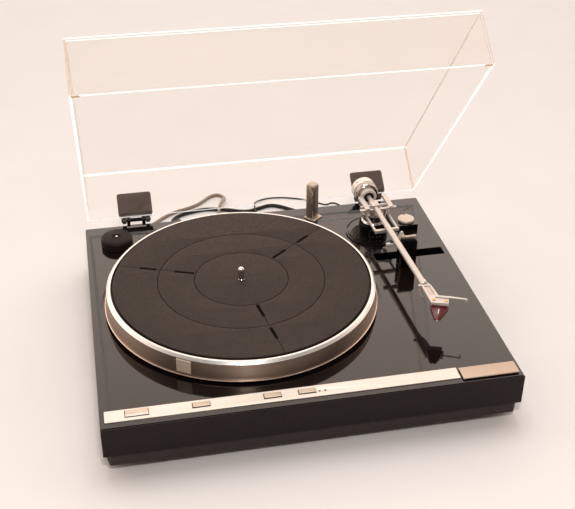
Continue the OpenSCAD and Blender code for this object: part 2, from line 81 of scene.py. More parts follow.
PLATTER = DECK @ moved(*SPINDLE)
ARM = DECK @ moved(*PIVOT) @ turned(ARM_REST)
TUBE = ARM @ moved(0, 0, TUBE_Z)
SHELL_IN_ARM = moved(3.4, -214.5) @ turned(-SHELL_TURN)
SHELL = TUBE @ SHELL_IN_ARM
COVER = DECK @ moved(0, *HINGE) @ turned(-OPEN, "X") @ moved(0, -HINGE[0], -HINGE[1])
ALONG_Y = turned(-90, "X")
ALONG_X = turned(90, "Y")

# Camera, as the photograph was taken

CAMERA_AT = (25.5, -765, 738.4)
CAMERA_DOWN, CAMERA_TURN, CAMERA_ROLL = 32.79, 11.51, 0.33
CAMERA_LENS = 65.39


def make_camera():
    camera = bpy.data.objects.new("camera", bpy.data.cameras.new("camera"))
    camera.data.lens = CAMERA_LENS
    camera.data.sensor_width = 36
    camera.data.clip_start = 0.05
    look = turned(-CAMERA_TURN) @ turned(90 - CAMERA_DOWN, "X") @ turned(CAMERA_ROLL)
    camera.matrix_world = Matrix.Translation(DECK @ Vector(CAMERA_AT)) @ look
    bpy.context.collection.objects.link(camera)
    bpy.context.scene.camera = camera


make_camera()

# Shapes, each added to a mesh that is drawn in millimetres


def new_mesh():
    return bmesh.new()


def add_mesh(bm, part, at=None):
    """Adds the finished mesh part to bm, moved by the matrix at."""
    data = bpy.data.meshes.new("part")
    part.to_mesh(data)
    part.free()
    if at is not None:
        data.transform(at)
    bm.from_mesh(data)
    bpy.data.meshes.remove(data)


def add_box(bm, low, high, round_by=0.4, steps=2, at=None):
    part = bmesh.new()
    size = Vector(high) - Vector(low)
    middle = (Vector(high) + Vector(low)) / 2
    bmesh.ops.create_cube(part, size=1, matrix=Matrix.Translation(middle) @ Matrix.Diagonal((*size, 1)))
    radius = min(round_by, min(size) * 0.49)
    bmesh.ops.bevel(part, geom=part.edges[:], offset=radius, segments=steps, profile=0.5, affect="EDGES")
    add_mesh(bm, part, at)


def add_turned(bm, profile, steps=96, at=None):
    """A shape turned about Z from (radius, height) points, closed where the profile reaches radius 0."""
    part = bmesh.new()
    rings = []
    for radius, height in profile:
        if radius == 0:
            rings.append([part.verts.new((0, 0, height))])
            continue
        angles = [2 * math.pi * k / steps for k in range(steps)]
        rings.append([part.verts.new((radius * math.cos(a), radius * math.sin(a), height)) for a in angles])
    pairs = list(zip(rings, rings[1:]))
    if profile[0][0] and profile[-1][0]:
        pairs.append((rings[-1], rings[0]))
    for one, two in pairs:
        for k in range(steps):
            n = (k + 1) % steps
            corners = [one[k % len(one)], one[n % len(one)], two[n % len(two)], two[k % len(two)]]
            face = list(dict.fromkeys(corners))
            if len(face) > 2:
                part.faces.new(face)
    add_mesh(bm, part, at)


def rounded_profile(radius, low, high, edge=0.4, steps=3):
    """A solid disc's profile with rounded rims."""
    arc = [math.pi / 2 * k / steps for k in range(steps + 1)]
    lower = [(radius - edge + edge * math.sin(a), low + edge - edge * math.cos(a)) for a in arc]
    upper = [(radius - edge + edge * math.cos(a), high - edge + edge * math.sin(a)) for a in arc]
    return [(0, low), *lower, *upper, (0, high)]


def add_disc(bm, radius, low, high, edge=0.4, steps=64, at=None):
    add_turned(bm, rounded_profile(radius, low, high, edge), steps, at)


def circle(radius, x=0, y=0, steps=72):
    angles = [2 * math.pi * k / steps for k in range(steps)]
    return [(x + radius * math.cos(a), y + radius * math.sin(a)) for a in angles]


def rectangle(x0, y0, x1, y1, radius=0.0, steps=6):
    if radius == 0:
        return [(x0, y0), (x1, y0), (x1, y1), (x0, y1)]
    corners = [(x1 - radius, y0 + radius, -90), (x1 - radius, y1 - radius, 0)]
    corners += [(x0 + radius, y1 - radius, 90), (x0 + radius, y0 + radius, 180)]
    points = []
    for x, y, start in corners:
        for k in range(steps + 1):
            a = math.radians(start + 90 * k / steps)
            points.append((x + radius * math.cos(a), y + radius * math.sin(a)))
    return points


def add_plate(bm, outlines, low, high, round_by=0.3, steps=2, at=None):
    """A flat plate from its outline and the outlines of its holes, with rounded edges."""
    curve = bpy.data.curves.new("plate", "CURVE")
    curve.dimensions = "2D"
    curve.fill_mode = "BOTH"
    curve.extrude = (high - low) / 2 - round_by
    curve.bevel_depth = round_by
    curve.bevel_resolution = steps
    curve.offset = -round_by
    for outline in outlines:
        spline = curve.splines.new("POLY")
        spline.points.add(len(outline) - 1)
        spline.use_cyclic_u = True
        for point, (x, y) in zip(spline.points, outline):
            point.co = (x, y, 0, 1)
    holder = bpy.data.objects.new("plate", curve)
    data = bpy.data.meshes.new_from_object(holder)
    data.transform(moved(0, 0, (high + low) / 2))
    if at is not None:
        data.transform(at)
    part = bmesh.new()
    part.from_mesh(data)
    bmesh.ops.remove_doubles(part, verts=part.verts, dist=0.0005)
    bpy.data.objects.remove(holder)
    bpy.data.curves.remove(curve)
    bpy.data.meshes.remove(data)
    add_mesh(bm, part)


def add_rod(bm, start, end, radius, end_radius=None, edge=0.25, steps=24):
    """A round rod between two points, with softened rims."""
    start, end = Vector(start), Vector(end)
    length = (end - start).length
    far = radius if end_radius is None else end_radius
    profile = [(0, 0), (radius - edge, 0), (radius, edge)]
    profile += [(far, length - edge), (far - edge, length), (0, length)]
    turn = (end - start).to_track_quat("Z", "Y").to_matrix().to_4x4()
    add_turned(bm, profile, steps, Matrix.Translation(start) @ turn)


def curve_point(points, s):
    """A place on the smooth curve through the points, s counting from the first."""
    last = len(points) - 1
    i = min(int(s), last - 1)
    t = s - i
    b, c = Vector(points[i]), Vector(points[i + 1])
    a = Vector(points[i - 1]) if i else 2 * b - c
    d = Vector(points[i + 2]) if i < last - 1 else 2 * c - b
    return 0.5 * (2 * b + (c - a) * t + (2 * a - 5 * b + 4 * c - d) * t**2 + (3 * b - a - 3 * c + d) * t**3)


def smooth_path(points, per_span=4):
    spans = (len(points) - 1) * per_span
    return [curve_point(points, k / per_span) for k in range(spans + 1)]


def add_wire(bm, points, radius, sides=8):
    """A thin round wire through given points."""
    path = smooth_path(points)
    angles = [2 * math.pi * n / sides for n in range(sides)]
    spokes = [Vector((math.cos(a), math.sin(a), 0)) for a in angles]
    rings = []
    for k, here in enumerate(path):
        ahead = (path[min(k + 1, len(path) - 1)] - path[max(k - 1, 0)]).normalized()
        turn = ahead.to_track_quat("Z", "Y").to_matrix()
        rings.append([bm.verts.new(here + turn @ (radius * s)) for s in spokes])
    for one, two in zip(rings, rings[1:]):
        for n in range(sides):
            bm.faces.new([one[n], one[(n + 1) % sides], two[(n + 1) % sides], two[n]])
    bm.faces.new(rings[0][::-1])
    bm.faces.new(rings[-1])


def piece(name, bm, at, finishes, body, stands_for=(), sharp=35):
    """The finished piece: its mesh in the row frame, its finish, and the body that it rides on."""
    bmesh.ops.recalc_face_normals(bm, faces=bm.faces)
    mesh = bpy.data.meshes.new(name)
    bm.to_mesh(mesh)
    bm.free()
    mesh.transform(at)
    mesh.shade_smooth()
    mesh.set_sharp_from_angle(angle=math.radians(sharp))
    made = bpy.data.objects.new(name, mesh)
    bpy.context.collection.objects.link(made)
    for finish in finishes if isinstance(finishes, list) else [finishes]:
        mesh.materials.append(finish)
    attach(made, body)
    if stands_for:
        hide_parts(*stands_for)
    return made


# Finishes


def finish(name, colour, rough, metal=0.0, vary=0.08, grain=900, bump=0.05, stretch=(1, 1, 1), **sockets):
    """A finish whose tone, roughness and surface vary on the scale of its grain, counted per metre."""
    made = bpy.data.materials.new(name)
    made.use_nodes = True
    nodes, links = made.node_tree.nodes, made.node_tree.links
    shader = nodes["Principled BSDF"]
    shader.inputs["Metallic"].default_value = metal
    for socket, value in sockets.items():
        shader.inputs[socket.replace("_", " ")].default_value = value
    place = nodes.new("ShaderNodeTexCoord")
    mapping = nodes.new("ShaderNodeMapping")
    mapping.inputs["Scale"].default_value = stretch
    links.new(place.outputs["Object"], mapping.inputs["Vector"])

    def noise(scale, detail):
        node = nodes.new("ShaderNodeTexNoise")
        node.inputs["Scale"].default_value = scale
        node.inputs["Detail"].default_value = detail
        links.new(mapping.outputs["Vector"], node.inputs["Vector"])
        return node.outputs["Fac"]

    tone = nodes.new("ShaderNodeValToRGB")
    tone.color_ramp.elements[0].position = 0.3
    tone.color_ramp.elements[1].position = 0.7
    tone.color_ramp.elements[0].color = (*[c * (1 - vary) for c in colour], 1)
    tone.color_ramp.elements[1].color = (*[min(c * (1 + vary), 1) for c in colour], 1)
    links.new(noise(grain * 0.05, 3), tone.inputs["Fac"])
    links.new(tone.outputs["Color"], shader.inputs["Base Color"])
    spread = nodes.new("ShaderNodeMapRange")
    spread.inputs["From Min"].default_value = 0.3
    spread.inputs["From Max"].default_value = 0.7
    spread.inputs["To Min"].default_value = rough * 0.8
    spread.inputs["To Max"].default_value = min(rough * 1.25, 1)
    links.new(noise(grain * 0.3, 4), spread.inputs["Value"])
    links.new(spread.outputs["Result"], shader.inputs["Roughness"])
    if bump:
        relief = nodes.new("ShaderNodeBump")
        relief.inputs["Strength"].default_value = bump
        relief.inputs["Distance"].default_value = 0.0002
        links.new(noise(grain, 2), relief.inputs["Height"])
        links.new(relief.outputs["Normal"], shader.inputs["Normal"])
    return made


def gloss(name, colour, rough, level, **options):
    return finish(name, colour, rough, Specular_IOR_Level=level, **options)


ALONG_GRAIN = (0.04, 1, 1)
ROUND_GRAIN = (0.02, 0.02, 1)
ARM_GRAIN = (0.02, 1, 0.02)
GLOSS_BLACK = gloss("gloss black", (0.008, 0.005, 0.004), 0.05, 0.9, vary=0.1, grain=300, bump=0.003)
SATIN_BLACK = gloss("satin black", (0.012, 0.006, 0.005), 0.3, 0.17, vary=0.03, grain=1500, bump=0.005)
DEEP_BLACK = gloss("deep black", (0.004, 0.003, 0.003), 0.3, 0.1, grain=1500, bump=0.02)
# Near black without gloss: painted shade for the floor of the slot beside the arm.
PAINTED_SHADE_BLACK = gloss("painted shade black", (0.001, 0.001, 0.001), 0.9, 0.0, grain=1500, bump=0.02)
PAN_BLACK = gloss("pan black", (0.042, 0.031, 0.029), 0.5, 0.2, grain=1800, bump=0.1)
MATT_BLACK = gloss("matt black", (0.008, 0.007, 0.007), 0.75, 0.2, grain=1500, bump=0.1)
RUBBER = gloss("rubber", (0.03, 0.03, 0.03), 0.8, 0.3, grain=1200, bump=0.3)
CREAM = finish("cream trim", (0.82, 0.73, 0.64), 0.3, metal=0.2, vary=0.03, grain=700, stretch=ALONG_GRAIN)
CHAMPAGNE = finish("champagne", (0.52, 0.40, 0.30), 0.35, metal=0.5, vary=0.05, stretch=ALONG_GRAIN)
BUTTON = finish("button tan", (0.66, 0.52, 0.40), 0.35, metal=0.3, vary=0.05, stretch=ALONG_GRAIN)
# Dark brown for the front and left faces of the buttons: painted shade.
BUTTON_SHADE = finish("button painted shade", (0.12, 0.08, 0.055), 0.4, vary=0.05, stretch=ALONG_GRAIN)
SILVER = finish("arm silver", (0.63, 0.57, 0.52), 0.33, metal=0.5, vary=0.04, grain=1500)
CHROME = finish("chrome", (0.80, 0.78, 0.76), 0.08, metal=1.0, vary=0.04, grain=700, bump=0.01)
RIM = finish("platter ring", (0.92, 0.88, 0.84), 0.25, metal=0.7, vary=0.03, grain=2500, stretch=ROUND_GRAIN)
LIP = finish("platter lip", (0.85, 0.64, 0.53), 0.25, metal=0.8, vary=0.05, grain=2500, stretch=ROUND_GRAIN)
MAT = gloss("mat rubber", (0.040, 0.028, 0.023), 0.6, 0.15, vary=0.06, grain=1600, bump=0.1)
BRASS = finish("brass", (0.75, 0.55, 0.25), 0.3, metal=1.0, grain=900)
IRON = finish("iron", (0.25, 0.24, 0.23), 0.5, metal=0.7, grain=900)
BOARD = finish("board", (0.05, 0.2, 0.08), 0.5, grain=500)
BROWN = gloss("hinge brown", (0.110, 0.076, 0.064), 0.35, 0.3, vary=0.1, grain=900)
TAN = finish("tan rubber", (0.70, 0.52, 0.34), 0.6, grain=900)
GREY = finish("cartridge grey", (0.42, 0.40, 0.38), 0.4, grain=900)
BRONZE = finish("bronze black", (0.52, 0.45, 0.37), 0.2, metal=0.8, vary=0.2, grain=400)
POST_TOP = finish("post top", (0.55, 0.45, 0.35), 0.45, grain=900)
LAMP = finish("lamp", (0.12, 0.02, 0.015), 0.2, grain=900)
CORD_BLACK = gloss("cord black", (0.02, 0.018, 0.016), 0.4, 0.3, grain=1500, bump=0.1)
CORD_TAN = finish("cord tan", (0.30, 0.22, 0.17), 0.4, grain=1500, bump=0.1)
GUARD = finish("guard red", (0.10, 0.001, 0.004), 0.3, vary=0.1, grain=300, bump=0.0)
WEIGHT = finish("weight", (0.76, 0.70, 0.64), 0.3, metal=0.6, vary=0.05, grain=2500, stretch=ARM_GRAIN)
WEIGHT_BAND = finish("weight band", (0.42, 0.38, 0.35), 0.1, metal=1.0, vary=0.05, grain=2500, bump=0.02)
ADAPTOR = gloss("adaptor", (0.022, 0.014, 0.012), 0.45, 0.1, vary=0.1, grain=800)
PANE = finish("pane", (0.60, 0.49, 0.43), 0.35, metal=0.3, vary=0.06, grain=1800, bump=0.1)
KNOB_TOP = finish("knob top", (0.66, 0.56, 0.47), 0.38, metal=0.3, vary=0.05, grain=2500, bump=0.15)
WHITE = finish("white tip", (0.9, 0.88, 0.85), 0.3, grain=900)


def brushed_side():
    """Metal brushed around the platter, so that a light is drawn out up and down its side; its dark brown
    colour, far darker than the ring above it, is painted shade.
    """
    made = finish(
        "platter side painted shade", (0.29, 0.22, 0.175), 0.42, metal=1.0,
        vary=0.06, grain=2500, bump=0.1, stretch=ROUND_GRAIN,
    )
    nodes, links = made.node_tree.nodes, made.node_tree.links
    around = nodes.new("ShaderNodeTangent")
    around.axis = "Z"
    shader = nodes["Principled BSDF"]
    shader.inputs["Anisotropic"].default_value = 0.9
    shader.inputs["Anisotropic Rotation"].default_value = 0.25
    links.new(around.outputs["Tangent"], shader.inputs["Tangent"])
    return made


def clear_finish(name, tint, colour, least, most, rough, painted_glow=0.0):
    """Clear plastic: tinted where it is looked through, and more of its own colour at a slant; with
    painted_glow above nought it is glowing, painted light.
    """
    painted_glow_sockets = {"Emission_Color": (*colour, 1), "Emission_Strength": painted_glow}
    made = finish(name, colour, rough, vary=0.02, grain=150, bump=0.0, **painted_glow_sockets)
    nodes, links = made.node_tree.nodes, made.node_tree.links
    through = nodes.new("ShaderNodeBsdfTransparent")
    through.inputs["Color"].default_value = (*tint, 1)
    slant = nodes.new("ShaderNodeFresnel")
    slant.inputs["IOR"].default_value = 1.49
    share = nodes.new("ShaderNodeMapRange")
    share.inputs["From Min"].default_value = 0.04
    share.inputs["From Max"].default_value = 0.6
    share.inputs["To Min"].default_value = least
    share.inputs["To Max"].default_value = most
    links.new(slant.outputs["Fac"], share.inputs["Value"])
    mix = nodes.new("ShaderNodeMixShader")
    links.new(share.outputs["Result"], mix.inputs["Fac"])
    links.new(through.outputs["BSDF"], mix.inputs[1])
    links.new(nodes["Principled BSDF"].outputs["BSDF"], mix.inputs[2])
    links.new(mix.outputs["Shader"], nodes["Material Output"].inputs["Surface"])
    return made


SHADED_RIM_SIDE = brushed_side()
CLEAR = clear_finish("clear acrylic", (1.0, 0.995, 0.985), (0.88, 0.83, 0.78), 0.012, 0.07, 0.03)
CORNER = clear_finish("acrylic corner", (1.0, 0.93, 0.86), (0.80, 0.62, 0.47), 0.35, 0.5, 0.1)
# Folds and rim: white, nearly opaque and glowing, a painted highlight and painted light along the cover's
# edges.
PAINTED_GLOW_FOLD = clear_finish("acrylic fold, glowing white", (1.0, 0.98, 0.96), (1.0, 0.98, 0.96), 0.8, 0.9, 0.15, 0.7)
# Side folds: greyish and faintly glowing, painted light.
PAINTED_GLOW_SIDE_FOLD = clear_finish("acrylic side fold, faintly glowing", (0.97, 0.95, 0.92), (0.86, 0.82, 0.77), 0.3, 0.4, 0.15, 0.1)

# Leads on the floor behind, with their spare length coiled

MAINS = 5
SIGNAL = 4.4
EARTH = 2
MAINS_ROUTE = [
    (120, 400, 36), (120, 406, 36), (120, 414, 34), (119.5, 422, 28.5), (118.5, 431, 19.5),
    (117, 441, 9.7), (115.5, 449, 4.4), (114.5, 458, 2.5), (116.2, 467.5, 2.5), (121.8, 475.7, 2.5),
    (130, 481.5, 2.5), (139.5, 485, 2.5), (150, 488, 2.5), (164, 490, 2.5), (180, 487, 2.5),
    (196, 482, 2.5), (210, 476, 2.5), (223, 474, 2.5), (238, 479, 2.5), (254, 484, 2.5), (268, 478, 2.5),
    (282, 466, 2.5), (296, 453, 2.5), (306, 445, 2.5), (316, 442, 2.5),
]
SIGNAL_ROUTE = [
    (60, 388, 36), (60, 400, 36), (61, 413, 28), (64, 426, 14), (70, 440, 5), (79, 454, 2.2),
    (92, 467, 2.2), (106, 480, 2.2), (122, 491, 2.2), (138, 497, 2.2), (152, 504, 2.2), (164, 514, 2.2),
    (174, 524, 2.2), (185, 528, 2.2), (193, 521, 2.2), (193, 509, 5), (189, 498, 9), (185, 487, 10),
    (181, 475, 8), (178, 462, 4.5), (171, 448, 2.2), (162, 433, 2.2), (157.5, 420, 2.2), (156.6, 408, 2.2),
]
EARTH_ROUTE = [
    (360, 371, 36), (360, 384, 36), (360, 394, 35), (359, 406, 26), (358, 420, 10), (357, 436, 2),
    (355, 452, 1), (352, 467, 1), (343, 477, 1), (332, 474, 1), (320, 483, 1), (304, 494, 1),
    (288, 501, 1), (270, 506, 1), (252, 506, 1), (239, 498, 3), (233, 486, 6.6), (231, 474, 6.8),
    (230, 462, 5), (227, 450, 1.4), (226, 440, 1), (226, 428, 1),
]


def coil(middle, radius, width, across, layers, start, way):
    """Turns that lie beside and on each other, wound in, up, and out again from the angle start."""
    points = []
    per_turn = 24
    turns = across * layers
    for k in range(1, turns * per_turn + 1):
        turn = k / per_turn
        layer = min(int((k - 1) / per_turn / across), layers - 1)
        inward = turn - layer * across
        inner_share = inward if layer % 2 == 0 else across - inward
        r = radius + (across - 1) / 2 * width - min(inner_share, across - 1) * width
        climb = min(inward * 3, 1) if layer else 1
        z = width * (0.5 + layer - 1 + climb)
        a = math.radians(start) + way * 2 * math.pi * turn
        points.append(Vector((middle[0] + r * math.cos(a), middle[1] + r * math.sin(a), z)))
    return points


def lead(name, path, width, skin, stands_for):
    """A free lead: one open line with a round skin."""
    curve = bpy.data.curves.new(name, "CURVE")
    curve.dimensions = "3D"
    curve.bevel_depth = width / 2 * MM
    curve.bevel_resolution = 3
    curve.use_fill_caps = True
    spline = curve.splines.new("POLY")
    spline.points.add(len(path) - 1)
    for point, here in zip(spline.points, path):
        point.co = (*(DECK @ here), 1)
    spline.use_smooth = True
    made = bpy.data.objects.new(name, curve)
    bpy.context.collection.objects.link(made)
    curve.materials.append(skin)
    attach(made, "plinth")
    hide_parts(*stands_for)


def make_leads():
    make_glands()
    plug = make_mains_plug()
    path = smooth_path(MAINS_ROUTE) + coil((316, 410), 27, MAINS, 3, 2, 90, -1)
    stands_for = ["mains_cord", "mains_coil"]
    lead("mains_lead", path, MAINS, CORD_BLACK, stands_for)
    plugs = make_signal_plugs()
    path = smooth_path(SIGNAL_ROUTE) + coil((185, 408), 24, SIGNAL, 3, 2, 180, 1)
    stands_for = ["signal_cord", "signal_coil"]
    lead("signal_lead", path, SIGNAL, CORD_TAN, stands_for)
    tag = make_earth_tag()
    path = smooth_path(EARTH_ROUTE) + coil((240, 428), 11, EARTH, 4, 3, 180, 1)
    stands_for = ["earth_wire", "earth_coil"]
    lead("earth_lead", path, EARTH, CORD_BLACK, stands_for)


def make_glands():
    bm = new_mesh()
    for x, radius, long in ((MAINS_ROUTE[0][0], MAINS / 2, 25), (SIGNAL_ROUTE[0][0], SIGNAL / 2, 13)):
        profile = [(0, 0), (radius + 2.8, 0), (radius + 2.8, 3), (radius + 1.7, 3.2)]
        for k in range(4):
            low = 3.5 + (long - 4.5) / 4 * k
            rib = radius + 1.6 - 0.2 * k
            profile += [(rib, low), (rib, low + 2), (radius + 0.7, low + 2.2)]
        profile += [(radius + 0.5, long), (0, long)]
        add_turned(bm, profile, 40, moved(x, DEPTH, OUTLET_Z) @ ALONG_Y)
    piece("lead_glands", bm, DECK, SATIN_BLACK, "plinth", ["mains_gland", "signal_gland"])


def make_mains_plug():
    bm = new_mesh()
    here = moved(338, 394, MAINS * 2)
    add_plate(bm, [rectangle(-7, 0, 7, 26, 3)], 0, 12, 2, 4, here)
    for x in (-5.3, 5.3):
        add_box(bm, (x - 0.75, 25, 3), (x + 0.75, 43, 9), 0.3, 2, here)
    for k in range(4):
        near = here @ Vector((0, -1.5 * k - 1.4, 6))
        add_rod(bm, near, here @ Vector((0, -1.5 * k + 0.2, 6)), 3.4 - 0.2 * k)
    tail = [(0, 0, 6), (0, -5, 6), (0, -8.5, 4.5), (0, -9, 2.5), (0, -9, 0.5)]
    add_wire(bm, [here @ Vector(p) for p in tail], MAINS / 2)
    return piece("plug_mains", bm, DECK, SATIN_BLACK, "plinth", ["mains_plug"])


def make_signal_plugs():
    bm = new_mesh()
    profile = [(0, 0), (2.4, 0), (4.2, 2), (4.5, 5), (4.5, 20), (4.1, 22), (4.1, 30), (3.5, 30), (3.5, 23)]
    profile += [(1.6, 23), (1.6, 36.5), (0.8, 38), (0, 38)]
    for x in (132, 143):
        add_turned(bm, profile, 40, moved(x, 386, 4.5) @ ALONG_Y)
    return piece("plugs_signal", bm, DECK, CHROME, "plinth", ["signal_plugs"])


def make_earth_tag():
    bm = new_mesh()
    here = moved(236, 390)
    left = [(0, 0), (2.2, 0), (2.2, 4.2), (3, 5.6)]
    prongs = left + [(5, 5.6), (5.8, 4.2), (5.8, 0), (8, 0), (8, 7), (6, 10), (2, 10), (0, 7)]
    add_plate(bm, [prongs], 0, 0.8, 0.15, 1, here)
    add_rod(bm, here @ Vector((4, 9, 1)), here @ Vector((4, 24, 1)), 1)
    return piece("tag_earth", bm, DECK, BRASS, "plinth", ["earth_tag"])


make_leads()


# Room: a pale floor, a pale surround and large soft lights


KEY_AT, KEY_SIZE, KEY_POWER = (87, -681, 1154), 0.16, 6.5
OVERHEAD_AT, OVERHEAD_SIZE, OVERHEAD_POWER = (0.1, 0.9, 2.7), 1.7, 30
SURROUND_COLOUR, SURROUND_LEVEL = (1.0, 0.84, 0.75, 1), 1.7


def make_room():
    ground = finish("floor", (0.80, 0.762, 0.742), 0.7, vary=0.01, grain=40, bump=0.02)
    mesh = bpy.data.meshes.new("floor")
    mesh.from_pydata([(-6, -3, 0), (6, -3, 0), (6, 9, 0), (-6, 9, 0)], [], [(0, 1, 2, 3)])
    mesh.materials.append(ground)
    floor = bpy.data.objects.new("floor", mesh)
    bpy.context.collection.objects.link(floor)
    bpy.context.scene.world = make_surround()
    bpy.context.scene.view_settings.view_transform = "Standard"
    add_light("key", DECK @ Vector(KEY_AT), (0, 0, 0.05), KEY_SIZE, KEY_POWER, (1.0, 0.97, 0.94))
    add_light("overhead", OVERHEAD_AT, (0.1, 0.7, 0), OVERHEAD_SIZE, OVERHEAD_POWER, (0.92, 0.97, 1.0))


def make_surround():
    """A surround that is bright at the back, where the gloss deck mirrors it, and dim at the front."""
    world = bpy.data.worlds.new("surround")
    world.use_nodes = True
    nodes, links = world.node_tree.nodes, world.node_tree.links
    way = nodes.new("ShaderNodeTexCoord")
    split = nodes.new("ShaderNodeSeparateXYZ")
    links.new(way.outputs["Generated"], split.inputs["Vector"])

    def ramp(source, stops):
        node = nodes.new("ShaderNodeValToRGB")
        while len(node.color_ramp.elements) < len(stops):
            node.color_ramp.elements.new(0.5)
        for element, (place, grey) in zip(node.color_ramp.elements, stops):
            element.position = place
            element.color = (grey, grey, grey, 1)
        links.new(source, node.inputs["Fac"])
        return node.outputs["Color"]

    shift = nodes.new("ShaderNodeMapRange")
    shift.inputs["From Min"].default_value = -1
    links.new(split.outputs["Y"], shift.inputs["Value"])
    depth = ramp(shift.outputs["Result"], [(0.35, 0.14), (0.65, 1.0)])
    height = ramp(split.outputs["Z"], [(0.0, 1.0), (0.55, 1.0), (0.8, 0.55)])
    both = nodes.new("ShaderNodeMath")
    both.operation = "MULTIPLY"
    links.new(depth, both.inputs[0])
    links.new(height, both.inputs[1])
    level = nodes.new("ShaderNodeMapRange")
    level.inputs["To Max"].default_value = SURROUND_LEVEL
    links.new(both.outputs["Value"], level.inputs["Value"])
    backdrop = nodes["Background"]
    backdrop.inputs["Color"].default_value = SURROUND_COLOUR
    links.new(level.outputs["Result"], backdrop.inputs["Strength"])
    return world


def add_light(name, place, target, size, power, colour):
    data = bpy.data.lights.new(name, "AREA")
    data.size = size
    data.energy = power
    data.color = colour
    light = bpy.data.objects.new(name, data)
    way = Vector(target) - Vector(place)
    light.matrix_world = Matrix.Translation(place) @ way.to_track_quat("-Z", "Y").to_matrix().to_4x4()
    bpy.context.collection.objects.link(light)


make_room()

# Plinth and its controls


def keep(node, finish_of_node, width=0.4, sharp=30):
    """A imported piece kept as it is, with its finish and softened edges."""
    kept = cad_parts[node]
    kept.data.materials.clear()
    kept.data.materials.append(finish_of_node)
    if width:
        soften = kept.modifiers.new("soften", "BEVEL")
        soften.width = width * MM
        soften.segments = 2
        soften.limit_method = "ANGLE"
        soften.angle_limit = math.radians(sharp)
        soften.harden_normals = True


def make_plinth():
    keep("deck", GLOSS_BLACK, 0.25)
    keep("case_frame", SATIN_BLACK, 0.15)
    keep("base_pan", PAN_BLACK)
    for k in range(1, 5):
        keep(f"foot_{k}", RUBBER)
    keep("circuit_board", BOARD, 0)
    keep("transformer", IRON)
    keep("stator", BRASS, 0)
    keep("bearing", BRASS, 0)
    keep("rotor_magnet", IRON)
    keep("adaptor_pin", SATIN_BLACK, 0.3)
    keep("weight_bush", MATT_BLACK, 0.3)
    keep("hinge_pins", DEEP_BLACK, 0.3)
    keep("hinge_bracket_left", SATIN_BLACK)
    keep("hinge_bracket_right", SATIN_BLACK)


def make_plinth_skins():
    """The plain front of the plinth, and a near black sheet in the slot beside the arm, painted shade."""
    front = new_mesh()
    add_box(front, (0.1, -0.4, CASE_Z), (WIDTH - 0.1, 0.6, TOP - 0.2), 0.15, 1)
    piece("fascia_skin", front, DECK, SATIN_BLACK, "plinth")
    # A near black sheet paints the shade inside the slot.
    shade_sheet = new_mesh()
    add_box(shade_sheet, (338.3, 236.8, TOP - 2.95), (422.7, 251.7, TOP - 2.4), 0.1, 1)
    piece("slot_shade_sheet", shade_sheet, DECK, PAINTED_SHADE_BLACK, "plinth")


BUTTONS = [(25, 22.6, 13.5, 9.5), (91, 17, 14.6, 6.8), (162.2, 17, 14.6, 6.8), (197.2, 17, 14.6, 6.4)]
LAMPS = [(218, 16), (224, 16)]
STRIP_TOP = TOP + 1


def make_controls():
    strip = new_mesh()
    holes = [rectangle(x - 0.7, y - 0.9, x + w + 0.5, y + d + 0.5) for x, w, y, d in BUTTONS]
    holes += [circle(1.2, x, y, 20)[::-1] for x, y in LAMPS]
    add_plate(strip, [rectangle(4.8, 8.5, 363.8, 25, 0.6)] + holes, TOP, STRIP_TOP, 0.15, 1)
    piece("strip", strip, DECK, CREAM, "plinth", ["control_strip"])
    for k, (x, w, y, d) in enumerate(BUTTONS, 1):
        make_button(k, x, w, y, d)
    bar = new_mesh()
    add_plate(bar, [rectangle(365.5, 4.8, 425.5, 22.6, 0.8)], 59.2, 60.3, 0.25)
    add_plate(bar, [rectangle(366.3, 5.6, 424.7, 6.4, 0.3)], 60.0, 60.5, 0.15, 1)
    add_box(bar, (374.5, 10.8, 48), (416.5, 16.6, 59.4))
    piece("start_bar", bar, DECK, CHAMPAGNE, "start_stop", ["start_stop_bar"])
    lamps = new_mesh()
    for x, y in LAMPS:
        add_turned(lamps, [(0, TOP), (1.1, TOP), (1.1, 59.1), (0.8, 59.35), (0, 59.4)], 20, moved(x, y))
    piece("lamps", lamps, DECK, LAMP, "plinth", ["indicator_lamps"])


def make_button(k, x, w, y, d):
    top = STRIP_TOP + 0.8
    bm = new_mesh()
    split = y + d * 0.45
    add_box(bm, (x, split, top - 1.2), (x + w, y + d, top), 0.25)
    add_box(bm, (x + 1.5, y + 1.5, 48), (x + w - 1.5, y + d - 1.5, top - 1), 0.3)
    if k > 1:
        add_box(bm, (x, y, top - 1.2), (x + w, split + 0.5, top), 0.25)
    # Faces to the front and to the left take the dark brown finish, painted shade along the button's edges.
    for face in bm.faces:
        face.material_index = 1 if face.normal.y < -0.5 or face.normal.x < -0.5 else 0
    piece(f"push_{k}_cap", bm, DECK, [BUTTON, BUTTON_SHADE], f"push_{k}", [f"button_{k}"])
    if k > 1:
        return
    front = new_mesh()
    add_box(front, (x, y, top - 1.2), (x + w, split, top - 0.35), 0.2)
    rib = y + 0.5
    while rib < split - 0.4:
        add_box(front, (x + 0.5, rib, top - 0.5), (x + w - 0.5, rib + 0.5, top - 0.05), 0.1, 1)
        rib += 1.0
    # Its front face takes the dark brown finish, painted shade.
    for face in front.faces:
        face.material_index = 1 if face.normal.y < -0.5 and face.calc_center_median().y < y + 0.2 else 0
    piece(f"push_{k}_front", front, DECK, [CREAM, BUTTON_SHADE], f"push_{k}")


make_plinth()
make_plinth_skins()
make_controls()

# Platter, mat and spindle

MAT_TOP = 84
MAT_LOW = 79
MAT_SLOTS_AT = (39, 159, 279)


